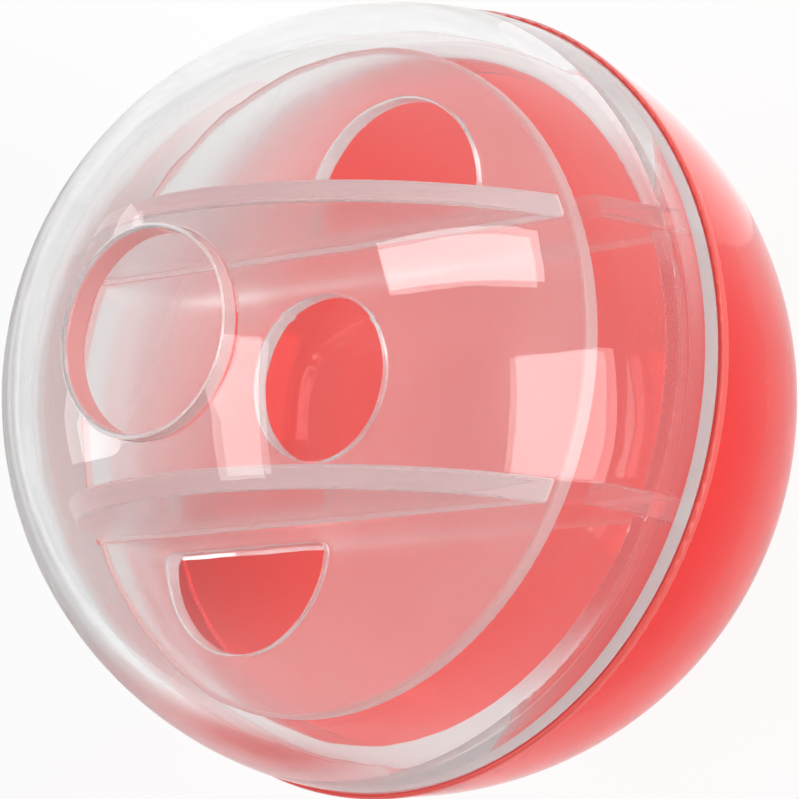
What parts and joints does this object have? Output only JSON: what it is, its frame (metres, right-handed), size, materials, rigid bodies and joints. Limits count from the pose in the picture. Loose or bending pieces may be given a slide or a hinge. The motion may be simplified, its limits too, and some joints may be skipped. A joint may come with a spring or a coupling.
{
  "type": "treat dispensing ball",
  "caption": "Hollow see-through ball for pets: a clear and a red half shell joined by an inner sleeve, with a holed plate and baffles that let treats out slowly through a round exit.",
  "frame": {"origin": "centre of the ball", "axes": "+Z from the red half towards the treat exit at the clear pole, X along the baffles"},
  "size_m": [0.0606, 0.0606, 0.0589],
  "materials": {
    "clear_plastic": "clear, polished",
    "red_plastic": "see-through red, polished"
  },
  "bodies": {
    "red_half": {"red_half_shell": "red_plastic"},
    "labyrinth": {"coupling_sleeve": "clear_plastic", "labyrinth_plate": "clear_plastic", "front_lower_baffle": "clear_plastic", "rear_lower_baffle": "clear_plastic", "front_upper_baffle": "clear_plastic", "rear_upper_baffle": "clear_plastic"},
    "clear_half": {"clear_half_shell": "clear_plastic"}
  },
  "joints": [
    {"name": "labyrinth_lift", "type": "slide", "parent": "red_half", "child": "labyrinth", "axis": [0, 0, 1], "range_m": [0, 0.025]},
    {"name": "clear_half_pull", "type": "slide", "parent": "labyrinth", "child": "clear_half", "axis": [0, 0, 1], "range_m": [0, 0.035]}
  ]
}
